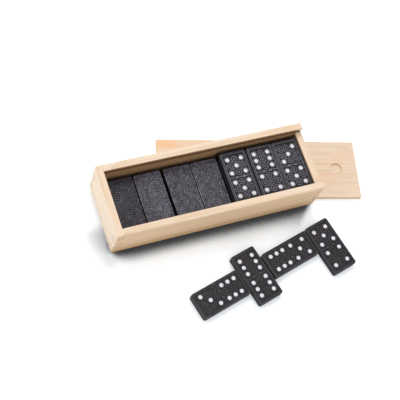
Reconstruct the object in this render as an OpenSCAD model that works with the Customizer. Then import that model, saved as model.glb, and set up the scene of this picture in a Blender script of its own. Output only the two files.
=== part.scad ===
// Wooden domino box with a sliding lid and its set of 28 moulded tiles.
//
// The open box stands on its own lid, which lies crossed under it on the table.
// 24 tiles are stacked in seven columns in the box, and four lie in front of it
// as the start of a game.  X runs along the box, Y to the back, and Z up.
// The origin is the table under the middle of the box.  Sizes are in millimetres.

/* [Tiles] */
// Length of a tile
tile_l = 40; // [34:0.5:48]
// Width of a tile
tile_w = 20; // [17:0.5:24]
// Thickness of a tile
tile_t = 5; // [4:0.1:6]
// Radius of a tile's corners, seen from above
tile_corner_r = 2; // [1:0.1:3]
// Radius along a tile's edges
tile_edge_r = 0.4; // [0.2:0.05:0.6]
// Diameter of a painted pip
pip_d = 3; // [2.4:0.1:3.2]
// Clear moat between a pip and the raised ring round it
pip_moat = 0.3; // [0.2:0.05:0.4]
// Middle of the outer pips to the long edge of the tile
pip_side_margin = 4.67; // [4:0.05:5]
// Middle of the outermost pips to the end of the tile
pip_end_margin = 5.75; // [5:0.05:6]
// Middle of the innermost pips to the middle of the tile
pip_inner_margin = 3.69; // [3:0.05:4]
// Depth of the sunk field round the relief
relief_h = 0.45; // [0.2:0.05:0.6]
// Width of the thin raised lines of the face and of the frames
line_w = 0.45; // [0.3:0.05:0.5]
// Width of the raised waves on the back
back_line_w = 0.65; // [0.4:0.05:0.8]

/* [Box] */
// Thickness of the two long walls
side_wall_t = 5.2; // [4:0.1:8]
// Thickness of the closed end wall
closed_end_t = 5.3; // [4:0.1:8]
// Thickness of the low end wall, which the lid slides over
low_end_t = 4.8; // [4:0.1:8]
// Thickness of the bottom panel
bottom_t = 2.5; // [2:0.1:5]
// Number of fingers and gaps in the height of a corner joint
finger_count = 4; // [2:1:8]
// Radius of the sanded upright corners
corner_r = 2.2; // [0.5:0.1:3]
// Radius of the sanded rim and foot edges
rim_r = 1; // [0.3:0.1:1.4]

/* [Lid] */
// Thickness of the sliding lid
lid_t = 3; // [2.4:0.1:4]
// Depth of the grooves that hold the lid
groove_d = 1.8; // [1:0.1:3]
// Height of the lips over the grooves
lip_h = 2.2; // [1.6:0.1:5]
// Diameter of the thumb notch
notch_d = 9.4; // [6:0.1:14]
// Depth of the thumb notch at its steep side
notch_depth = 0.9; // [0.6:0.1:2]
// Middle of the thumb notch to the lid's outer end
notch_from_end = 17; // [10:0.5:30]

/* [Fits] */
// Free length of the row of seven columns
row_play = 7.9; // [3:0.1:12]
// Free width beside the columns
side_play = 3.2; // [0.8:0.1:5]
// Gap between the columns and the front wall
front_gap = 0.2; // [0.1:0.05:0.4]
// Space between four layers of tiles and the grooves
head_room = 1.9; // [0.5:0.1:4]
// Play of the lid in the height of its grooves
lid_play = 0.4; // [0.2:0.05:1]
// Play of the lid at each long edge and at its closed end
lid_edge_play = 0.3; // [0.1:0.05:0.5]

/* [On the table] */
// How far the lid stands out past the box's low end
lid_reach = 45; // [20:1:60]
// How far the lid's middle lies behind the box's middle
lid_back = 9.4; // [0:0.1:11]
// Turn of the lid under the box
lid_turn = -13.5; // [-20:0.5:20]
// Clear table between the box and the crosswise tile of the chain
chain_clear = 22; // [18:1:60]
// Place of that crosswise tile along the box
chain_x = 16.5; // [-20:0.5:30]
// Turn of the chain of loose tiles
chain_turn = 14.3; // [5:0.1:20]

/* [Hidden] */
$fn = 48;

// The stacked tiles, column by column from the closed end, each column from the
// bottom up.  A tile is [value at its front end, value at its back end].
STACKS = [
    [[0, 1], [2, 4], [1, 6]],
    [[3, 3], [0, 5], [1, 2]],
    [[2, 6], [0, 0], [1, 4]],
    [[4, 4], [1, 3], [0, 2]],
    [[2, 3], [0, 6], [1, 1], [5, 5]],
    [[1, 5], [3, 4], [0, 3], [4, 6]],
    [[2, 5], [0, 4], [2, 2], [5, 3]]
];
FACE_DOWN_COLUMNS = 4;
LAYERS = 4;
// Each column's share of the free length, before it, and what is left at the end
PLAY_SHARES = [11, 9, 22, 7, 14, 10, 3, 3];

// The chain of loose tiles: values, quarter turns, gap to the tile before, and
// how far a tile stands forward of the chain's line
CHAIN = [[3, 6], [6, 6], [6, 5], [5, 4]];
CHAIN_CROSSWISE = [false, true, false, true];
CHAIN_GAPS = [0, 0.5, 1.2, 0.9];
CHAIN_FORWARD = [0, 1, 0, tile_l / 4 - 0.5];

function sum(list, upto) = upto < 0 ? 0 : list[upto] + sum(list, upto - 1);
function tile_name(values) = str("tile_", min(values), "_", max(values));
STACKED_NAMES = [for (column = STACKS) for (values = column) tile_name(values)];
CHAIN_NAMES = [for (values = CHAIN) tile_name(values)];
BOX_NAMES = ["bottom_panel", "side_wall_front", "side_wall_back",
             "end_wall_closed", "end_wall_low", "lid"];

// Box, measured from its own underside
columns = len(STACKS);
inner_l = columns * tile_w + row_play;
inner_w = tile_l + side_play;
box_l = closed_end_t + inner_l + low_end_t;
box_w = inner_w + 2 * side_wall_t;
groove_z = bottom_t + LAYERS * tile_t + head_room;
groove_h = lid_t + lid_play;
box_h = groove_z + groove_h + lip_h;
inner_x0 = -box_l / 2 + closed_end_t;
inner_x1 = box_l / 2 - low_end_t;
finger_h = (box_h - bottom_t) / finger_count;

// Lid: flush with the low end wall when shut
lid_l = inner_l + groove_d + low_end_t - lid_edge_play;
lid_w = inner_w + 2 * (groove_d - lid_edge_play);
lid_edge_r = 0.5;
lid_corner_r = 0.6;
notch_azimuth = 100;
notch_least = 0.15;

// Tile relief
edge_band = 0.7;
frame_gap = 0.6;
pip_sink = 0.12;
ring_r = pip_d / 2 + pip_moat + line_w / 2;
bud_r = 0.6;
pitch_w = tile_w / 2 - pip_side_margin;
pitch_l = (tile_l / 2 - pip_end_margin - pip_inner_margin) / 2;
half_x = pip_inner_margin + pitch_l;
frame_in = edge_band + frame_gap + line_w;
curl_r = (norm([pitch_l, pitch_w]) / 2 - ring_r - line_w / 2) / 2;
root = 0.3;

// How far a cutting or oversize body runs past a face
over = 1;

wood = "burlywood";
lid_wood = "wheat";
tile_black = [0.13, 0.13, 0.14];
pip_white = "white";

// ---- shared forms --------------------------------------------------------

// Rectangle round the origin with its corners rounded
module round_rect(l, w, r) {
    square([l - 2 * r, w], center = true);
    square([l, w - 2 * r], center = true);
    for (x = [-1, 1], y = [-1, 1])
        translate([x * (l / 2 - r), y * (w / 2 - r)])
            circle(r);
}

// Board on the plane Z = 0 with rounded corners and eased edges
module eased_board(l, w, h, plan_r, edge_r) {
    intersection() {
        linear_extrude(h)
            round_rect(l, w, plan_r);
        translate([0, 0, h / 2])
            rotate([90, 0, 90])
                linear_extrude(l + 2 * over, center = true)
                    round_rect(w, h, edge_r);
        translate([0, 0, h / 2])
            rotate([90, 0, 0])
                linear_extrude(w + 2 * over, center = true)
                    round_rect(l, h, edge_r);
    }
}

// ---- box -----------------------------------------------------------------

// The glued box stands on the lid
module on_lid() {
    translate([0, 0, lid_t])
        children();
}

// What sanding the outside leaves of the children
module sanded() {
    intersection() {
        children();
        eased_board(box_l, box_w, box_h, corner_r, rim_r);
    }
}

// Space of the lid and its play, open at the low end
module lid_slot() {
    slot_w = inner_w + 2 * groove_d;
    translate([inner_x0 - groove_d, -slot_w / 2, groove_z])
        cube([box_l, slot_w, groove_h]);
}

// Fingers of an end wall, through both side walls, up to the height of the wall
module end_fingers(x0, length, top) {
    width = box_w + 2 * over;
    for (i = [1:2:finger_count - 1]) {
        z0 = bottom_t + i * finger_h;
        z1 = i == finger_count - 1 ? box_h + over : z0 + finger_h;
        if (z0 + finger_h <= top + finger_h / 10)
            translate([x0, -width / 2, z0])
                cube([length, width, z1 - z0]);
    }
}

module closed_end_fingers() {
    end_fingers(-box_l / 2 - over, closed_end_t + over, box_h);
}

module low_end_fingers() {
    end_fingers(inner_x1, low_end_t + over, groove_z);
}

// Long wall at the front, grooved for the lid and notched for the end fingers
module side_board() {
    sanded()
        difference() {
            translate([-box_l / 2 - over, -box_w / 2 - over, bottom_t])
                cube([box_l + 2 * over, side_wall_t + over, box_h]);
            lid_slot();
            closed_end_fingers();
            low_end_fingers();
        }
}

module side_wall_front() {
    color(wood)
        on_lid()
            side_board();
}

module side_wall_back() {
    color(wood)
        on_lid()
            mirror([0, 1, 0])
                side_board();
}

module end_wall_closed() {
    color(wood)
        on_lid()
            sanded()
                difference() {
                    union() {
                        translate([-box_l / 2 - over, -inner_w / 2, bottom_t])
                            cube([closed_end_t + over, inner_w, box_h]);
                        closed_end_fingers();
                    }
                    lid_slot();
                }
}

module end_wall_low() {
    color(wood)
        on_lid()
            sanded()
                union() {
                    translate([inner_x1, -inner_w / 2, bottom_t])
                        cube([low_end_t + over, inner_w, groove_z - bottom_t]);
                    low_end_fingers();
                }
}

module bottom_panel() {
    color(wood)
        on_lid()
            sanded()
                translate([-box_l / 2 - over, -box_w / 2 - over, -over])
                    cube([box_l + 2 * over, box_w + 2 * over, bottom_t + over]);
}

// ---- lid -----------------------------------------------------------------

// Thumb notch: a drill leant over, so that one side is steep and one nearly runs out
module thumb_notch() {
    lean = asin((notch_depth - notch_least) / notch_d);
    translate([lid_l / 2 - notch_from_end, 0, lid_t])
        rotate([0, 0, notch_azimuth])
            translate([notch_d / 2, 0, -notch_depth])
                rotate([0, lean, 0])
                    translate([-notch_d / 2, 0, 0])
                        cylinder(h = 3 * notch_depth, d = notch_d);
}

module lid() {
    color(lid_wood)
        translate([box_l / 2 + lid_reach - lid_l / 2 * cos(lid_turn), lid_back, 0])
            rotate([0, 0, lid_turn])
                difference() {
                    eased_board(lid_l, lid_w, lid_t, lid_corner_r, lid_edge_r);
                    thumb_notch();
                }
}

// ---- tiles ---------------------------------------------------------------

// Grid places of a value's pips in the first half of a tile: [along, across]
function pip_places(value) =
    value == 0 ? []
    : value == 1 ? [[0, 0]]
    : value == 2 ? [[-1, 1], [1, -1]]
    : value == 4 ? [for (i = [-1, 1], j = [-1, 1]) [i, j]]
    : value == 6 ? [for (i = [-1:1], j = [-1, 1]) [i, j]]
    : concat([[0, 0]], pip_places(value - 1));

function has(list, item) = len([for (x = list) if (x == item) x]) > 0;

// Raised forms stand on the sunk field and reach a little into the tile
module raised(top = 0) {
    translate([0, 0, tile_t - relief_h - root])
        linear_extrude(relief_h + root - top)
            children();
}

// Thin raised arc round the origin
module arc_line(r, from, sweep, width = line_w) {
    translate([0, 0, tile_t - relief_h - root])
        rotate([0, 0, from])
            rotate_extrude(angle = sweep)
                translate([r - width / 2, 0])
                    square([width, relief_h + root]);
}

module frame_line() {
    outer = edge_band + frame_gap;
    raised()
        difference() {
            round_rect(tile_l - 2 * outer, tile_w - 2 * outer, 1);
            round_rect(tile_l - 2 * frame_in, tile_w - 2 * frame_in, 0.7);
        }
}

// Plate with the two fields sunk round the relief of its face and back
module tile_plate() {
    difference() {
        eased_board(tile_l, tile_w, tile_t, tile_corner_r, tile_edge_r);
        for (z = [tile_t - relief_h, relief_h - over])
            translate([0, 0, z])
                linear_extrude(over)
                    round_rect(tile_l - 2 * edge_band, tile_w - 2 * edge_band, 1.6);
    }
}

// A ring round each place, a bud where it has no pip, and a curl between each four
module half_ornament(value) {
    for (i = [-1:1], j = [-1:1])
        translate([i * pitch_l, j * pitch_w, 0]) {
            arc_line(ring_r, 0, 360);
            if (!has(pip_places(value), [i, j]))
                arc_line(bud_r, 0, 360);
        }
    for (i = [-1, 1], j = [-1, 1])
        translate([i * pitch_l / 2, j * pitch_w / 2, 0])
            arc_line(curl_r, 45 * (i - 2 * j), 250);
}

module half_pips(value) {
    for (place = pip_places(value))
        translate([place[0] * pitch_l, place[1] * pitch_w, 0])
            raised(pip_sink)
                circle(pip_d / 2);
}

// Puts the first child on the first half, and the second on the second half
module on_halves() {
    translate([-half_x, 0, 0])
        children(0);
    rotate([0, 0, 180])
        translate([-half_x, 0, 0])
            children(1);
}

// Divider of the two halves with small waves along it
module divider() {
    raised()
        square([line_w, tile_w - 2 * frame_in + line_w], center = true);
    for (side = [0, 180], j = [-1, 1])
        rotate([0, 0, side])
            translate([0, j * pitch_w / 2, 0])
                arc_line(curl_r, -90, 180);
}

// Back of a tile: two running waves with a curl and a ringed bud in each bend
module back_ornament() {
    reach_l = tile_l / 2 - frame_in - frame_gap;
    reach_w = tile_w / 2 - frame_in - frame_gap;
    bends = round(2 * reach_l / reach_w);
    bend_r = reach_l / bends;
    row_y = reach_w - bend_r - back_line_w / 2;
    for (i = [0:bends - 1], row = [-1, 1]) {
        up = i % 2 == 0 ? 1 : -1;
        translate([(2 * i + 1 - bends) * bend_r, row * row_y, 0]) {
            arc_line(bend_r, 90 - 90 * up, 180, back_line_w);
            arc_line(bend_r * 0.56, 90 - 90 * up - 35, 250, back_line_w);
            arc_line(bend_r * 0.16, 0, 360, back_line_w / 2);
        }
        if (row != up)
            translate([(2 * i + 1 - bends) * bend_r, row * reach_w, 0])
                arc_line(bend_r * 0.4, 90 - 90 * up, 180, back_line_w);
    }
}

// Tile lying face up round the origin, with its first value at low X
module tile(values) {
    color(tile_black) {
        tile_plate();
        frame_line();
        divider();
        on_halves() {
            half_ornament(values[0]);
            half_ornament(values[1]);
        }
        translate([0, 0, tile_t])
            rotate([180, 0, 0]) {
                frame_line();
                back_ornament();
            }
    }
    color(pip_white)
        on_halves() {
            half_pips(values[0]);
            half_pips(values[1]);
        }
}

function column_x(c) =
    inner_x0 + row_play * sum(PLAY_SHARES, c) / sum(PLAY_SHARES, columns) + (c + 0.5) * tile_w;

module stacked_tile(values, column, layer) {
    face_down = column < FACE_DOWN_COLUMNS;
    translate([column_x(column), front_gap - side_play / 2, lid_t + bottom_t + layer * tile_t])
        rotate([0, 0, 90])
            translate([0, 0, face_down ? tile_t : 0])
                rotate([face_down ? 180 : 0, 0, 0])
                    tile(values);
}

// Half of a chain tile's extent along the chain
function chain_half(i) = (CHAIN_CROSSWISE[i] ? tile_w : tile_l) / 2;
// Place along the chain, from the middle of the second tile
function chain_along(i) =
    i == 1 ? 0
    : i == 0 ? -chain_half(0) - CHAIN_GAPS[1] - chain_half(1)
    : chain_along(i - 1) + chain_half(i - 1) + CHAIN_GAPS[i] + chain_half(i);

module chain_tile(i) {
    translate([chain_x, -box_w / 2 - chain_clear - tile_l / 2, 0])
        rotate([0, 0, chain_turn])
            translate([chain_along(i), CHAIN_FORWARD[1] - CHAIN_FORWARD[i], 0])
                rotate([0, 0, CHAIN_CROSSWISE[i] ? -90 : 0])
                    tile(CHAIN[i]);
}

// ---- assembly ------------------------------------------------------------

bottom_panel();
side_wall_front();
side_wall_back();
end_wall_closed();
end_wall_low();
lid();
for (c = [0:columns - 1], k = [0:len(STACKS[c]) - 1])
    stacked_tile(STACKS[c][k], c, k);
for (i = [0:len(CHAIN) - 1])
    chain_tile(i);
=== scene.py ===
"""Looks of the wooden domino box: pine, black moulded plastic and painted pips."""

import math
from collections import namedtuple

import bmesh
import bpy
from mathutils import Matrix, Vector


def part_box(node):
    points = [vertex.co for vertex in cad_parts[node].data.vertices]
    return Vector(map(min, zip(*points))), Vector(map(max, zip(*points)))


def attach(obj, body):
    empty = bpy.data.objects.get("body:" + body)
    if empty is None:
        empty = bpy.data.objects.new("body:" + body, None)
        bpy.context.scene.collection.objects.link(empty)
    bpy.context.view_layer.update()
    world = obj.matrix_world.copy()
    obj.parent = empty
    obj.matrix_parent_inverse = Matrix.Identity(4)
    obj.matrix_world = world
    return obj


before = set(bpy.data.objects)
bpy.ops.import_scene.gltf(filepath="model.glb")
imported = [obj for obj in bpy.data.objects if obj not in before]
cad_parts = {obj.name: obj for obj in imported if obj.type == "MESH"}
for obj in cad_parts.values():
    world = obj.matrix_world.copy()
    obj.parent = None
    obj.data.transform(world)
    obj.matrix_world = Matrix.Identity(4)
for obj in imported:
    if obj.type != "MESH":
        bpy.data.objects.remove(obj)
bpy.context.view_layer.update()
CORNERS = {name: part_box(name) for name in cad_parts}
MM = 0.001
X = (1, 0, 0)
Y = (0, 1, 0)
Z = (0, 0, 1)


def lowest(node):
    """A node's lowest corner at rest, in millimetres."""
    return CORNERS[node][0] / MM


def highest(node):
    """A node's highest corner at rest, in millimetres."""
    return CORNERS[node][1] / MM


# ---- tiles ---------------------------------------------------------------

# Sizes that the painted pips share with the construction, in metres
TILE_L = 40 * MM
TILE_W = 20 * MM
TILE_T = 5 * MM
PIP_R = 1.5 * MM
PIP_SINK = 0.12 * MM
RELIEF_H = 0.45 * MM
PITCH_L = 5.28 * MM
PITCH_W = 5.33 * MM
HALF_X = 8.97 * MM

# A drop of paint: its radius, its height, and its outline in shares of both
DROP_R = 0.985 * PIP_R
DROP_H = 0.9 * PIP_SINK
DROP_OUTLINE = ((1.0, 0.0), (0.99, 0.3), (0.94, 0.6), (0.8, 0.85), (0.5, 0.97))
DROP_SEGMENTS = 28

# Each chain tile: its first value, and its turn about Z
CHAIN_TURN = math.radians(14.3)
CHAIN = {
    "tile_3_6": (3, CHAIN_TURN),
    "tile_6_6": (6, CHAIN_TURN - math.pi / 2),
    "tile_5_6": (6, CHAIN_TURN),
    "tile_4_5": (5, CHAIN_TURN - math.pi / 2),
}
# Stacked tiles whose higher value lies at the front end
HIGH_VALUE_IN_FRONT = {"tile_3_5"}
# The top tile of each face-up column, from the closed end
FACE_UP_TOPS = ("tile_5_5", "tile_4_6", "tile_3_5")

# ---- the box and its lid, in millimetres ---------------------------------

# The inside, between the faces of the walls, from its floor to the rim
INNER_X = (highest("end_wall_closed").x, lowest("end_wall_low").x)
INNER_Y = lowest("side_wall_back").y
INNER_Z = highest("bottom_panel").z
RIM_Z = highest("side_wall_back").z
FINGER_H = (RIM_Z - INNER_Z) / 4
# The lid's groove starts at the height of the low end wall
GROOVE_Z = highest("end_wall_low").z
GROOVE_D = 1.8
GROOVE_H = 3.4
# Low and high corners of the inside and of the grooves, a little into the wood
SKIN = 0.05
CAVITY = (
    (INNER_X[0] - SKIN, -INNER_Y - SKIN, INNER_Z - SKIN),
    (INNER_X[1] + SKIN, INNER_Y + SKIN, RIM_Z + SKIN),
)
GROOVE_Y = INNER_Y + GROOVE_D + SKIN
GROOVES = (
    (INNER_X[0] - GROOVE_D - SKIN, -GROOVE_Y, GROOVE_Z - SKIN),
    (highest("side_wall_back").x + SKIN, GROOVE_Y, GROOVE_Z + GROOVE_H + SKIN),
)
# Painted shade: the inside darkens between these heights, a tile higher from the first of these
# places along X, beside the face-up columns, and one more at the low end wall
INSIDE_SHADE_Z = (12.5, 22.5)
INSIDE_SHADE_STEPS_X = (lowest(FACE_UP_TOPS[0]).x - 0.2, INNER_X[1] - 0.4)
# The long sides are browner below these heights, as painted shade, and change in brightness
# along X, as painted light
FOOT_SHADE_Z = (4, 17)
PAINTED_LIGHT_DRIFT_X = (-80, 80)
# Half the width of a glue line across a face
SEAM_HALF = 0.3

# The axis that each board's grain follows
BOARD_GRAIN = {
    "bottom_panel": "X",
    "side_wall_front": "X",
    "side_wall_back": "X",
    "end_wall_closed": "Y",
    "end_wall_low": "Y",
}
UNGROOVED = ("bottom_panel", "end_wall_low")
# Painted light: how bright the box's upright faces are at its low end, next to its closed end
PAINTED_LIGHT_DRIFT = {"side_wall_front": 1.14}

# Where the boards were cut from their trunks: along it, and the pith (across, up)
SEED_STEP = 61.0
FIRST_PITH = (14, -30)
PITH_STEP = (9, -6)
LID_SEED = 340.0
LID_PITH = (-6, -38)

LID_TURN = math.radians(-13.5)
# The lid's notch, along and across the world's origin in the lid's own turn
Notch = namedtuple("Notch", "along across radius")
LID_NOTCH = Notch(105.6, 20.6, 4.7)

# ---- colours and grain ---------------------------------------------------

# Pine on faces that look up or down, paler than on upright faces: a painted sheen
PINE_TOP = (0.83, 0.68, 0.53)
PINE_TOP_PINK = (0.84, 0.65, 0.49)
# Upright faces, in painted light and shade: of the box (darker than the tops), of the box
# towards -X (paler), of the lid, and the long sides' foot
PINE_SIDE = (0.84, 0.60, 0.395)
# Painted light on the box's faces towards -X
PINE_SIDE_PAINTED_LIGHT = (0.92, 0.80, 0.65)
PINE_LID_SIDE = (0.72, 0.47, 0.25)
PINE_FOOT_SHADE = (0.58, 0.34, 0.13)
# Painted shade inside the box, near the rim and deep down, and in its grooves
PINE_INNER_SHADE = (0.47, 0.275, 0.135)
PINE_DEEP_SHADE = (0.06, 0.03, 0.02)
PINE_GROOVE_SHADE = (0.20, 0.09, 0.028)
# Late wood and fibres, glue lines, and painted shade on the notch's wall
PINE_LATE = (0.68, 0.45, 0.25)
SEAM = (0.40, 0.20, 0.10)
NOTCH_WALL_SHADE = (0.44, 0.24, 0.09)

# The lid's orange and pink stretches, placed as its notch is
Patch = namedtuple("Patch", "along across radius colour share")
ORANGE = (0.88, 0.50, 0.26)
PINK = (0.86, 0.58, 0.44)
LID_PATCHES = (
    Patch(-25, 44, 4.5, ORANGE, 0.62),
    Patch(114, 37, 5, PINK, 0.55),
    Patch(98, 19, 5, PINK, 0.45),
)
# Patches are twice as long as wide
PATCH_SHAPE = (0.5, 1, 0)
# Distance between growth rings, and how far a patch pushes them in, in millimetres
RING_PITCH = 2.6
RING_PUSH = 3.5
# How far the grain sways, in millimetres
SWAY = (0, 9, 9)
# Spots per millimetre along, across and up the grain
SWAY_GRAIN = (0.02, 0.09, 0.09)
FIBRE_GRAIN = (0.05, 2.6, 2.6)
STREAK_GRAIN = (0.012, 0.45, 0.45)
TONE_GRAIN = (0.018, 0.07, 0.07)

# A tile in the box: its sunk field and raised lines on its face and on its back, the lines paler
# with wear and a painted highlight, the smooth band round its face, and its sides
FIELD = (0.013, 0.012, 0.016)
RAISED_WEAR_AND_SHEEN = (0.200, 0.190, 0.220)
BACK_FIELD = (0.060, 0.056, 0.070)
BACK_RAISED_WEAR_AND_SHEEN = (0.135, 0.126, 0.154)
BAND = (0.100, 0.095, 0.112)
SIDE = (0.018, 0.017, 0.020)
# The face of a loose tile, its raised lines with less wear and painted highlight
LOOSE_FIELD = (0.022, 0.0195, 0.022)
LOOSE_RAISED_WEAR_AND_SHEEN = (0.074, 0.069, 0.076)
# Painted light and shade of the face-down columns, from the closed end: how pale their backs
# are, the first darkest in the shade of the closed end wall, and how clear their relief is
BACK_LIGHT_AND_SHADE = ((0.62, 1.0), (1.6, 0.4), (1.1, 1.0), (1.25, 0.8))
# In millimetres: a tile's thickness, the band's width, how far below its top the
# relief has its full colour, and a height above everything
THICKNESS = TILE_T / MM
BAND_W = 0.9
RELIEF_ROUND = 0.05
ABOVE_ALL = 99

PAINT_DARK = (0.70, 0.68, 0.75)
PAINT_LIGHT = (0.80, 0.78, 0.84)

# Bump heights, in metres
GRAIN_BUMP = 0.06 * MM
GRIT_BUMP = 0.02 * MM
ROLLING_BUMP = 0.35 * MM
PAINT_BUMP = 0.03 * MM

# ---- floor, light and camera ---------------------------------------------

# The floor: its side in metres, its colours, and its glow where the camera sees it
FLOOR_SIZE = 6.0
FLOOR_SHADE = (0.095, 0.10, 0.105)
FLOOR_PALE = (0.905, 0.93, 0.955)
FLOOR_GLOW = (0.93, 0.975, 1, 1)
FLOOR_GLOW_STRENGTH = 0.28
# How far contact shadows reach, in millimetres
SHADE_REACH = 22
# The deep shade in front of the box, in millimetres: across, its soft rim, and the
# rims of its left end and of its right end, which slants
FRONT_SHADE_Y = (-38.5, -20)
FRONT_SHADE_RIM = 6
FRONT_SHADE_LEFT = (-82, -74)
FRONT_SHADE_RIGHT = (73, 81)
FRONT_SHADE_SLANT = 27.0
# The deep shade at the left of the box, in millimetres: along and across, with rims
LEFT_SHADE_X = (-115, -70)
LEFT_SHADE_X_RIM = 8
LEFT_SHADE_Y = (-32, -12)
LEFT_SHADE_Y_RIM = 12

# The photograph's camera: place in millimetres, directions, and lens in millimetres
CAMERA_PLACE = (-232.26, -222.82, 633.13)
CAMERA_RIGHT = (0.9216, -0.3178, 0.2231)
CAMERA_VIEW = (0.3235, 0.3106, -0.8938)
FOCAL_LENGTH = 87.9
SENSOR_W = 36.0
# The nearest and furthest that it sees, in metres
CLIP = (0.01, 20)


# ---- node helpers --------------------------------------------------------


class Graph:
    """A material's node tree, with short calls to add and join nodes."""

    def __init__(self, name):
        self.material = bpy.data.materials.new(name)
        self.material.use_nodes = True
        self.tree = self.material.node_tree
        self.tree.nodes.clear()
        self.shader = self.add("ShaderNodeBsdfPrincipled")
        output = self.add("ShaderNodeOutputMaterial")
        self.join(self.shader.outputs[0], output.inputs["Surface"])

    def add(self, kind, **settings):
        made = self.tree.nodes.new(kind)
        for key, value in settings.items():
            setattr(made, key, value)
        return made

    def join(self, source, target):
        """Link a socket to another, or set a number or colour on it."""
        if isinstance(source, bpy.types.NodeSocket):
            self.tree.links.new(source, target)
        else:
            target.default_value = source

    def shade(self, name, source):
        """Link or set a socket of the shader."""
        self.join(source, self.shader.inputs[name])

    def math(self, operation, a, b=0.0, c=0.0):
        made = self.add("ShaderNodeMath", operation=operation)
        for socket, value in zip(made.inputs, (a, b, c)):
            self.join(value, socket)
        return made.outputs[0]

    def vector(self, operation, a, b=(0, 0, 0), add=(0, 0, 0)):
        made = self.add("ShaderNodeVectorMath", operation=operation)
        for socket, value in zip(made.inputs, (a, b, add)):
            self.join(value, socket)
        return made.outputs["Value"] if operation in ("DOT_PRODUCT", "LENGTH") else made.outputs[0]

    def dot(self, a, b):
        return self.vector("DOT_PRODUCT", a, b)

    def distance(self, place, point, shape):
        """Length of the way from point to place, with shape times each part of it."""
        away = self.vector("SUBTRACT", place, point)
        return self.vector("LENGTH", self.vector("MULTIPLY", away, shape))

    def scaled(self, colour, share):
        """A colour made darker or brighter by a factor."""
        made = self.add("ShaderNodeVectorMath", operation="SCALE")
        self.join(colour, made.inputs[0])
        self.join(share, made.inputs["Scale"])
        return made.outputs[0]

    def ramp(self, value, low, high, to_low=0.0, to_high=1.0):
        """value between low and high, smoothly mapped to to_low and to_high."""
        made = self.add("ShaderNodeMapRange", interpolation_type="SMOOTHSTEP")
        for socket, item in zip(made.inputs, (value, low, high, to_low, to_high)):
            self.join(item, socket)
        return made.outputs[0]

    def mix(self, share, a, b):
        """The colour a where share is 0, and b where it is 1."""
        made = self.add("ShaderNodeMix", data_type="RGBA")
        for socket, value in ((0, share), (6, a), (7, b)):
            if isinstance(value, tuple) and len(value) == 3:
                value = (*value, 1.0)
            self.join(value, made.inputs[socket])
        return made.outputs[2]

    def blend(self, share, a, b):
        """The number a where share is 0, and b where it is 1."""
        return self.math("MULTIPLY_ADD", share, self.math("SUBTRACT", b, a), a)

    def normal(self):
        return self.add("ShaderNodeTexCoord").outputs["Normal"]

    def millimetres(self, shift=(0, 0, 0), turn=(0, 0, 0)):
        """Coordinates of the piece in millimetres, turned, then moved."""
        sized = self.add("ShaderNodeMapping", vector_type="POINT")
        self.join(self.add("ShaderNodeTexCoord").outputs["Object"], sized.inputs["Vector"])
        self.join((1 / MM, 1 / MM, 1 / MM), sized.inputs["Scale"])
        placed = self.add("ShaderNodeMapping", vector_type="POINT")
        self.join(sized.outputs[0], placed.inputs["Vector"])
        self.join(turn, placed.inputs["Rotation"])
        self.join(shift, placed.inputs["Location"])
        return placed.outputs[0]

    def within(self, place, low, high):
        """1 between the low and high corners of an upright block, and 0 outside it."""
        parts = self.add("ShaderNodeSeparateXYZ")
        self.join(place, parts.inputs[0])
        share = 1.0
        for axis, least, most in zip(parts.outputs, low, high):
            inside = self.math("COMPARE", axis, (least + most) / 2, (most - least) / 2)
            share = self.math("MULTIPLY", share, inside)
        return share

    def window(self, value, low, high, soft):
        """1 between low and high, and down to 0 over soft beyond either."""
        rise = self.ramp(value, low - soft, low)
        return self.math("MULTIPLY", rise, self.ramp(value, high, high + soft, 1.0, 0.0))

    def wave(self, place, scale, distortion, detail, detail_scale):
        made = self.add("ShaderNodeTexWave")
        self.join(place, made.inputs["Vector"])
        self.join(scale, made.inputs["Scale"])
        self.join(distortion, made.inputs["Distortion"])
        self.join(detail, made.inputs["Detail"])
        self.join(detail_scale, made.inputs["Detail Scale"])
        return made.outputs["Fac"]

    def noise(self, place, scale, detail=3.0, roughness=0.5, output="Fac"):
        made = self.add("ShaderNodeTexNoise")
        self.join(place, made.inputs["Vector"])
        self.join(scale, made.inputs["Scale"])
        self.join(detail, made.inputs["Detail"])
        self.join(roughness, made.inputs["Roughness"])
        return made.outputs[output]

    def bump(self, height, distance, strength, under=None):
        """Normal of a relief, on top of that of another relief if there is one."""
        made = self.add("ShaderNodeBump")
        self.join(height, made.inputs["Height"])
        self.join(distance, made.inputs["Distance"])
        self.join(strength, made.inputs["Strength"])
        if under is not None:
            self.join(under, made.inputs["Normal"])
        return made.outputs[0]


# ---- pine ----------------------------------------------------------------


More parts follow.
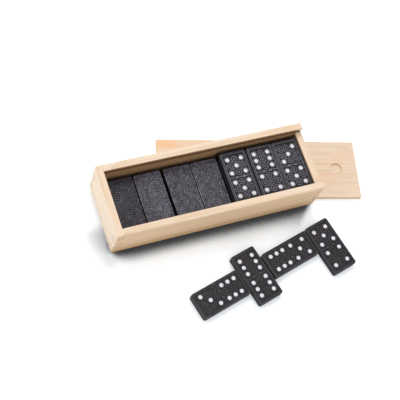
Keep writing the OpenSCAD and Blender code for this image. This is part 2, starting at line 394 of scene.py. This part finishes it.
class Pine(Graph):
    """Solid pine: growth rings round a pith line along the grain, fibres, end grain.

    turn is the angle from X to the grain.  seed is the board's place along its trunk,
    and pith the ring centre's place (across, up), in millimetres.  The growth rings
    are pushed round the patches.
    """

    def __init__(self, name, turn, seed, pith, patches=()):
        super().__init__(name)
        self.turn = turn
        self.seed = seed
        self.patches = patches
        self.here = self.millimetres()
        self.along = self.dot(self.here, X)
        self.place = self.millimetres(shift=(seed, 0, 0), turn=(0, 0, -turn))
        self.facing = self.normal()
        up = self.math("ABSOLUTE", self.dot(self.facing, Z))
        self.upright = self.ramp(up, 0.25, 0.85, 1.0, 0.0)
        sway = self.grain_noise(SWAY_GRAIN, 2.0, output="Color")
        self.swayed = self.vector("MULTIPLY_ADD", sway, SWAY, self.place)
        self.fibre = self.grain_noise(FIBRE_GRAIN, 4.0, 0.65)
        self.stains = [self.near_patch(patch) for patch in patches]
        self.late = self.late_wood(pith)

    def grain_noise(self, frequency, detail, roughness=0.5, output="Fac"):
        """Noise drawn out along the grain."""
        drawn_out = self.vector("MULTIPLY", self.place, frequency)
        return self.noise(drawn_out, 1.0, detail, roughness, output)

    def near_patch(self, patch):
        """1 in the middle of a patch, and 0 beyond its rim."""
        middle = (patch.along + self.seed, patch.across, 0)
        distance = self.distance(self.swayed, middle, PATCH_SHAPE)
        return self.ramp(distance, 0.3 * patch.radius, 1.5 * patch.radius, 1.0, 0.0)

    def late_wood(self, pith):
        """1 in the dark part of each growth ring, and 0 between them."""
        push = 0.0
        for near in self.stains:
            push = self.math("MAXIMUM", push, near)
        radius = self.distance(self.swayed, (0, *pith), (0, 1, 1))
        pushed = self.math("ADD", radius, self.math("MULTIPLY", push, RING_PUSH))
        ring = self.math("FRACT", self.math("DIVIDE", pushed, RING_PITCH))
        return self.math("MULTIPLY", self.ramp(ring, 0.35, 0.9), self.ramp(ring, 0.9, 1.0, 1.0, 0.0))

    def cover(self, share, colour):
        """Lay a colour over the wood's."""
        self.colour = self.mix(share, self.colour, colour)

    def colour_wood(self, side, contrast):
        """Start from tops paler with a painted sheen and the colour side on upright faces, and draw
        the grain.
        """
        streak = self.grain_noise(STREAK_GRAIN, 3.0)
        tone = self.grain_noise(TONE_GRAIN, 2.0)
        top = self.mix(self.ramp(tone, 0.35, 0.7), PINE_TOP, PINE_TOP_PINK)
        # Painted light and shade: tops paler with a sheen, upright faces darker and more saturated
        self.colour = self.mix(self.upright, top, side)
        depth = self.ramp(tone, 0.3, 0.75, contrast, contrast * 0.35)
        self.cover(self.math("MULTIPLY", self.late, depth), PINE_LATE)
        self.cover(self.ramp(streak, 0.45, 0.75, 0.0, 0.4), PINE_LATE)
        self.cover(self.ramp(self.fibre, 0.42, 0.75, 0.0, 0.16), PINE_LATE)
        for patch, near in zip(self.patches, self.stains):
            self.cover(self.math("MULTIPLY", near, patch.share), patch.colour)
        self.colour_end_grain()

    def colour_end_grain(self):
        """Darken the faces that cut the grain, and draw the rings on them."""
        grain = (math.cos(self.turn), math.sin(self.turn), 0)
        end = self.ramp(self.math("ABSOLUTE", self.dot(self.facing, grain)), 0.55, 0.95)
        rings = self.math("MULTIPLY", self.late, 0.5)
        self.cover(end, self.mix(rings, self.scaled(self.colour, 0.93), PINE_LATE))

    def finish(self):
        """Give the shader the wood's colour, sheen and relief."""
        self.shade("Base Color", self.colour)
        self.shade("Roughness", self.ramp(self.fibre, 0.3, 0.7, 0.5, 0.66))
        self.shade("Specular IOR Level", 0.3)
        relief = self.math("ADD", self.fibre, self.math("MULTIPLY", self.late, -0.35))
        self.shade("Normal", self.bump(relief, GRAIN_BUMP, 0.5))
        return self.material


def corner_seams(g, here, facing):
    """The glue lines of the finger joints, on the box's upright outer faces."""
    x = g.dot(here, X)
    y = g.math("ABSOLUTE", g.dot(here, Y))
    z = g.dot(here, Z)
    fingers = g.math("DIVIDE", g.math("SUBTRACT", z, INNER_Z), FINGER_H)
    middle_x = sum(INNER_X) / 2
    between = g.math("COMPARE", x, middle_x, INNER_X[1] - middle_x)
    beyond = g.math("SUBTRACT", 1.0, between)
    corner = g.math("MULTIPLY", beyond, g.math("GREATER_THAN", y, INNER_Y))
    rounded = g.math("FRACT", g.math("ADD", fingers, 0.5))
    off = g.math("ABSOLUTE", g.math("SUBTRACT", rounded, 0.5))
    level = g.math("MULTIPLY", corner, g.ramp(off, 0.04, 0.1, 1.0, 0.0))
    odd = g.math("GREATER_THAN", g.math("FRACT", g.math("DIVIDE", fingers, 2.0)), 0.5)
    long_side = g.math("GREATER_THAN", g.math("ABSOLUTE", g.dot(facing, Y)), 0.7)
    at_x = g.math("MAXIMUM", *(g.math("COMPARE", x, place, SEAM_HALF) for place in INNER_X))
    at_y = g.math("COMPARE", y, INNER_Y, SEAM_HALF)
    on_long = g.math("MULTIPLY", g.math("MULTIPLY", at_x, odd), long_side)
    on_end = g.math("MULTIPLY", g.math("MULTIPLY", at_y, beyond), g.math("SUBTRACT", 1.0, odd))
    return g.math("MAXIMUM", level, g.math("MAXIMUM", on_long, on_end))


def box_side(wood, painted_light_drift):
    """Colour of the box's upright faces in painted light: paler towards -X, and the given factor
    times as bright at its low end.
    """
    # Painted light: the faces towards -X paler, where more light falls on them
    facing_left = wood.ramp(wood.dot(wood.facing, (-1, 0, 0)), 0.35, 0.85)
    side = wood.mix(facing_left, PINE_SIDE, PINE_SIDE_PAINTED_LIGHT)
    # Painted light: brighter towards the low end
    return wood.scaled(side, wood.ramp(wood.along, *PAINTED_LIGHT_DRIFT_X, 1.0, painted_light_drift))


def shade_foot(wood, height):
    """Paint shade on the long sides: browner towards the bottom."""
    on_long_side = wood.ramp(wood.math("ABSOLUTE", wood.dot(wood.facing, Y)), 0.3, 0.8)
    # Painted shade: warm and dark towards the bottom of the long sides
    foot = wood.math("MULTIPLY", on_long_side, wood.ramp(height, *FOOT_SHADE_Z, 0.72, 0.0))
    wood.cover(foot, PINE_FOOT_SHADE)


def shade_inside(wood, height):
    """Paint shade inside the box, darker deep down."""
    for step_x in INSIDE_SHADE_STEPS_X:
        beyond = wood.math("GREATER_THAN", wood.along, step_x)
        height = wood.math("SUBTRACT", height, wood.math("MULTIPLY", beyond, THICKNESS))
    # Painted shade inside the box, darker deep down
    inner_shade = wood.mix(wood.ramp(height, *INSIDE_SHADE_Z), PINE_DEEP_SHADE, PINE_INNER_SHADE)
    wood.cover(wood.math("MULTIPLY", wood.within(wood.here, *CAVITY), 0.9), inner_shade)


def pine_board(board, number):
    """Pine of one of the box's boards, with its glue lines and painted shade inside the box."""
    turn = 0 if BOARD_GRAIN[board] == "X" else math.pi / 2
    pith = [first + number * step for first, step in zip(FIRST_PITH, PITH_STEP)]
    wood = Pine("pine_" + board, turn, SEED_STEP * number, pith)
    wood.colour_wood(box_side(wood, PAINTED_LIGHT_DRIFT.get(board, 1.0)), 0.5)
    height = wood.dot(wood.here, Z)
    shade_foot(wood, height)
    seams = wood.math("MULTIPLY", wood.upright, corner_seams(wood, wood.here, wood.facing))
    wood.cover(wood.math("MULTIPLY", seams, 0.38), SEAM)
    shade_inside(wood, height)
    if board not in UNGROOVED:
        # Painted shade in the lid's grooves, under their lips
        wood.cover(wood.math("MULTIPLY", wood.within(wood.here, *GROOVES), 0.9), PINE_GROOVE_SHADE)
    return wood.finish()


def pine_lid():
    """Pine of the lid, with its stained patches and painted shade on the wall of its notch."""
    wood = Pine("pine_lid", LID_TURN, LID_SEED, LID_PITH, LID_PATCHES)
    wood.colour_wood(PINE_LID_SIDE, 0.35)
    middle = (LID_NOTCH.along + LID_SEED, LID_NOTCH.across, 0)
    reach = wood.distance(wood.place, middle, (1, 1, 0))
    # Painted shade on the notch's upright wall
    wall = wood.math("LESS_THAN", reach, LID_NOTCH.radius + 2 * SKIN)
    cut = wood.math("MULTIPLY", wall, wood.upright)
    wood.cover(wood.math("MULTIPLY", cut, 0.85), NOTCH_WALL_SHADE)
    return wood.finish()


# ---- plastic and paint ---------------------------------------------------


def tile_relief(g, place, foot):
    """1 on the tops of the relief, and 0 in the sunk fields."""
    above_foot = g.math("SUBTRACT", g.dot(place, Z), foot)
    within = g.math("FRACT", g.math("DIVIDE", above_foot, THICKNESS))
    off_middle = g.math("ABSOLUTE", g.math("SUBTRACT", within, 0.5))
    from_middle = g.math("MULTIPLY", off_middle, THICKNESS)
    half = THICKNESS / 2
    return g.ramp(from_middle, half - RELIEF_H / MM, half - RELIEF_ROUND)


def banded(g, place, lines, middle):
    """The colour of the raised lines, with a band at the rim of a face that has less wear and
    painted highlight.
    """
    half_w = TILE_W / MM / 2 - BAND_W
    half_l = TILE_L / MM / 2 - BAND_W
    low = (middle.x - half_w, middle.y - half_l, 0)
    high = (middle.x + half_w, middle.y + half_l, ABOVE_ALL)
    return g.mix(g.within(place, low, high), BAND, lines)


def scuffing(g, place, back, flow, tone):
    """How bright the scuffs make the plastic, which is more uneven on the backs."""
    # tone: painted light and shade of a column
    clouds = g.ramp(g.noise(place, 0.08, 2.0), 0.3, 0.7, 0.85 * tone, 1.15 * tone)
    patchy = g.ramp(flow, 0.38, 0.68, g.blend(back, 0.8, 0.6), g.blend(back, 1.2, 1.5))
    marbling = g.ramp(g.wave(place, 0.2, 16.0, 2.0, 0.6), 0.2, 0.9, 0.75, 1.35)
    scuff = g.math("MULTIPLY", patchy, clouds)
    return g.math("MULTIPLY", scuff, g.blend(back, 1.0, marbling))


def black_plastic(
    name, foot, back_up, field=FIELD, lines=RAISED_WEAR_AND_SHEEN, tone=1.0, relief=1.0, middle=None
):
    """Moulded plastic of tiles whose undersides lie foot above a multiple of their thickness.

    Its raised relief is paler than the sunk field, with wear and a painted highlight,
    and the backs are the most scuffed side.  relief is how clear it is there, and tone how
    pale the plastic is, in painted light and shade.  middle is the middle of a column in
    the box, whose faces have a band round them with less wear and painted highlight.
    """
    g = Graph(name)
    place = g.millimetres()
    raised = tile_relief(g, place, foot)
    up = g.dot(g.normal(), Z)
    back = g.ramp(g.math("MULTIPLY", up, 1 if back_up else -1), 0.5, 0.9)
    flat = g.ramp(g.math("ABSOLUTE", up), 0.3, 0.8)
    grit = g.noise(place, 5.0, 3.0, 0.6)
    swirl = g.noise(place, 0.22, 1.0, output="Color")
    flow = g.noise(g.vector("MULTIPLY_ADD", swirl, (9, 9, 9), place), 0.55, 3.0)

    if middle is not None:
        lines = banded(g, place, lines, middle)
    # Raised lines paler than the field: wear and a painted highlight
    face_colour = g.mix(raised, field, lines)
    back_colour = g.mix(g.math("MULTIPLY", raised, relief), BACK_FIELD, BACK_RAISED_WEAR_AND_SHEEN)
    colour = g.mix(flat, SIDE, g.mix(back, face_colour, back_colour))
    g.shade("Base Color", g.scaled(colour, scuffing(g, place, back, flow, tone)))
    g.shade("Roughness", g.ramp(grit, 0.3, 0.7, 0.36, 0.5))
    g.shade("Specular IOR Level", 0.2)
    rolling = g.math("MULTIPLY", flow, g.math("MULTIPLY_ADD", back, 0.8, 0.2))
    coarse = g.bump(rolling, ROLLING_BUMP, 0.7)
    g.shade("Normal", g.bump(grit, GRIT_BUMP, 0.5, coarse))
    return g.material


def white_paint():
    g = Graph("white_paint")
    flow = g.noise(g.millimetres(), 1.3, 2.0)
    g.shade("Base Color", g.mix(flow, PAINT_DARK, PAINT_LIGHT))
    g.shade("Roughness", 0.32)
    g.shade("Normal", g.bump(flow, PAINT_BUMP, 0.6))
    return g.material


# ---- floor ---------------------------------------------------------------


def shade_in_front(g, along, across):
    """1 in the deep shade in front of the box, whose right end slants."""
    slanted = g.math("SUBTRACT", along, g.math("ADD", across, FRONT_SHADE_SLANT))
    right = g.ramp(slanted, *FRONT_SHADE_RIGHT, 1.0, 0.0)
    ends = g.math("MULTIPLY", g.ramp(along, *FRONT_SHADE_LEFT), right)
    return g.math("MULTIPLY", g.window(across, *FRONT_SHADE_Y, FRONT_SHADE_RIM), ends)


def shade_at_left(g, along, across):
    """1 in the deep shade at the left of the box."""
    strip = g.window(across, *LEFT_SHADE_Y, LEFT_SHADE_Y_RIM)
    return g.math("MULTIPLY", strip, g.window(along, *LEFT_SHADE_X, LEFT_SHADE_X_RIM))


def floor_paper():
    """White floor with deep contact shadows, a little brighter where the camera sees it."""
    g = Graph("floor_paper")
    occlusion = g.add("ShaderNodeAmbientOcclusion", samples=16)
    g.join(SHADE_REACH * MM, occlusion.inputs["Distance"])
    sky = occlusion.outputs["AO"]
    place = g.millimetres()
    along = g.dot(place, X)
    across = g.dot(place, Y)
    clear = g.ramp(sky, 0.1, 0.6, 0.95, 1.0)
    at_left = g.ramp(sky, 0.55, 1.12, 0.52, 1.0)
    clear = g.blend(shade_at_left(g, along, across), clear, at_left)
    in_front = g.ramp(sky, 0.57, 0.82)
    clear = g.blend(shade_in_front(g, along, across), clear, in_front)
    g.shade("Base Color", g.mix(clear, FLOOR_SHADE, FLOOR_PALE))
    g.shade("Roughness", 0.9)
    g.shade("Specular IOR Level", 0.0)
    g.shade("Emission Color", FLOOR_GLOW)
    seen = g.add("ShaderNodeLightPath").outputs["Is Camera Ray"]
    glow = g.math("MULTIPLY", clear, FLOOR_GLOW_STRENGTH)
    g.shade("Emission Strength", g.math("MULTIPLY", seen, glow))
    return g.material


# ---- new objects ---------------------------------------------------------


def new_object(name, data):
    """A new object in the scene."""
    made = bpy.data.objects.new(name, data)
    bpy.context.scene.collection.objects.link(made)
    return made


def mesh_object(name, mesh, material):
    """A new object made of a bmesh, which is used up."""
    data = bpy.data.meshes.new(name)
    mesh.to_mesh(data)
    mesh.free()
    data.materials.append(material)
    return new_object(name, data)


# ---- painted pips --------------------------------------------------------


def pip_places(value):
    """Grid places (along, across) of a value's pips in a tile's first half."""
    diagonal = [(-1, 1), (1, -1)]
    corners = [(i, j) for i in (-1, 1) for j in (-1, 1)]
    rows = {
        0: [],
        1: [(0, 0)],
        2: diagonal,
        3: [(0, 0), *diagonal],
        4: corners,
        5: [(0, 0), *corners],
        6: [(i, j) for i in (-1, 0, 1) for j in (-1, 1)],
    }
    return rows[value]


def add_drop(mesh, x, y, z):
    """Closed drop of paint: a flat foot, a short wall and a low crown."""
    rings = []
    for share, height in DROP_OUTLINE:
        ring = []
        for k in range(DROP_SEGMENTS):
            angle = 2 * math.pi * k / DROP_SEGMENTS
            radius = DROP_R * share
            point = (x + radius * math.cos(angle), y + radius * math.sin(angle), z + DROP_H * height)
            ring.append(mesh.verts.new(point))
        rings.append(ring)
    top = mesh.verts.new((x, y, z + DROP_H))
    for k in range(DROP_SEGMENTS):
        n = (k + 1) % DROP_SEGMENTS
        for lower, upper in zip(rings, rings[1:]):
            mesh.faces.new((lower[k], lower[n], upper[n], upper[k]))
        mesh.faces.new((rings[-1][k], rings[-1][n], top))
    mesh.faces.new(list(reversed(rings[0])))


def painted_pips(tile, first, second, turn, face_down, paint_material):
    """All the pips of one tile as one piece, which rides on the tile's body."""
    low, high = CORNERS[tile]
    mesh = bmesh.new()
    level = TILE_T / 2 - PIP_SINK
    for side, value in ((1, first), (-1, second)):
        for i, j in pip_places(value):
            add_drop(mesh, side * (i * PITCH_L - HALF_X), side * j * PITCH_W, level)
    if not mesh.verts:
        mesh.free()
        return
    flip = Matrix.Rotation(math.pi if face_down else 0, 4, "X")
    mesh.transform(Matrix.Translation((low + high) / 2) @ Matrix.Rotation(turn, 4, "Z") @ flip)
    piece = mesh_object("pips_" + tile, mesh, paint_material)
    piece.data.shade_smooth()
    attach(piece, tile)


# ---- the object ----------------------------------------------------------


def paint(node_name, material):
    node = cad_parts[node_name]
    node.data.materials.clear()
    node.data.materials.append(material)


def paint_boards():
    for number, board in enumerate(BOARD_GRAIN):
        paint(board, pine_board(board, number))


def column_plastics():
    """The plastic of each column, from the closed end, with its own tone of painted light and shade,
    and band.
    """
    foot = INNER_Z % THICKNESS
    plastics = []
    for number, (tone, relief) in enumerate(BACK_LIGHT_AND_SHADE, 1):
        name = f"black_back_up_{number}"
        plastics.append(black_plastic(name, foot, True, tone=tone, relief=relief))
    for number, tile in enumerate(FACE_UP_TOPS, len(plastics) + 1):
        name = f"black_face_up_{number}"
        middle = (lowest(tile) + highest(tile)) / 2
        plastics.append(black_plastic(name, foot, False, middle=middle))
    return plastics


def paint_tiles():
    """Plastic and painted pips of the tiles, stacked in columns or loose."""
    white = white_paint()
    loose = black_plastic("black_loose", 0.0, False, LOOSE_FIELD, LOOSE_RAISED_WEAR_AND_SHEEN)
    plastics = column_plastics()
    tiles = sorted(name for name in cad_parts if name.startswith("tile_"))
    stacked = [tile for tile in tiles if tile not in CHAIN]
    bottom_layer = [tile for tile in stacked if lowest(tile).z < INNER_Z + THICKNESS / 2]
    for tile in tiles:
        low_value, high_value = (int(value) for value in tile.split("_")[1:])
        if tile in stacked:
            ended = (highest(other).x < highest(tile).x - THICKNESS for other in bottom_layer)
            column = sum(ended)
            material = plastics[column]
            face_down = column < len(BACK_LIGHT_AND_SHADE)
            first = high_value if tile in HIGH_VALUE_IN_FRONT else low_value
            turn = math.pi / 2
        else:
            material = loose
            face_down = False
            first, turn = CHAIN[tile]
        second = low_value + high_value - first
        paint(tile, material)
        painted_pips(tile, first, second, turn, face_down, white)


# ---- stage ---------------------------------------------------------------


def floor():
    mesh = bmesh.new()
    bmesh.ops.create_grid(mesh, x_segments=1, y_segments=1, size=FLOOR_SIZE / 2)
    mesh_object("floor", mesh, floor_paper())


def area_light(name, place, target, size, power):
    """A square lamp: places and size in metres, power in watts."""
    light = bpy.data.lights.new(name, "AREA")
    light.shape = "SQUARE"
    light.size = size
    light.energy = power
    lamp = new_object(name, light)
    lamp.location = place
    lamp.rotation_mode = "QUATERNION"
    lamp.rotation_quaternion = (Vector(target) - Vector(place)).to_track_quat("-Z", "Y")


def world_light(level):
    """White all round: level on the object, and 1 where it is seen or reflected."""
    world = bpy.data.worlds.new("studio")
    bpy.context.scene.world = world
    world.use_nodes = True
    nodes, links = world.node_tree.nodes, world.node_tree.links
    background = nodes["Background"]
    background.inputs["Color"].default_value = (1, 1, 1, 1)
    path = nodes.new("ShaderNodeLightPath")
    seen = nodes.new("ShaderNodeMath")
    seen.operation = "MAXIMUM"
    strength = nodes.new("ShaderNodeMath")
    strength.operation = "MULTIPLY_ADD"
    links.new(path.outputs["Is Camera Ray"], seen.inputs[0])
    links.new(path.outputs["Is Glossy Ray"], seen.inputs[1])
    links.new(seen.outputs[0], strength.inputs[0])
    strength.inputs[1].default_value = 1 - level
    strength.inputs[2].default_value = level
    links.new(strength.outputs[0], background.inputs["Strength"])


def camera():
    """The photograph's camera."""
    right = Vector(CAMERA_RIGHT).normalized()
    back = -Vector(CAMERA_VIEW).normalized()
    up = back.cross(right).normalized()
    right = up.cross(back)
    data = bpy.data.cameras.new("camera")
    data.sensor_width = SENSOR_W
    data.lens = FOCAL_LENGTH
    data.clip_start, data.clip_end = CLIP
    viewer = new_object("camera", data)
    axes = Matrix((right, up, back)).transposed().to_4x4()
    viewer.matrix_world = Matrix.Translation(Vector(CAMERA_PLACE) * MM) @ axes
    bpy.context.scene.camera = viewer


paint_boards()
paint("lid", pine_lid())
paint_tiles()

floor()
world_light(0.8)
area_light("key", place=(0.2, 0.72, 1.05), target=(0.02, -0.02, 0), size=0.5, power=5)
area_light("left_fill", place=(-1.2, 0.1, 0.5), target=(0, 0, 0), size=0.6, power=3)
camera()
bpy.context.scene.view_settings.view_transform = "Standard"

bpy.context.view_layer.update()
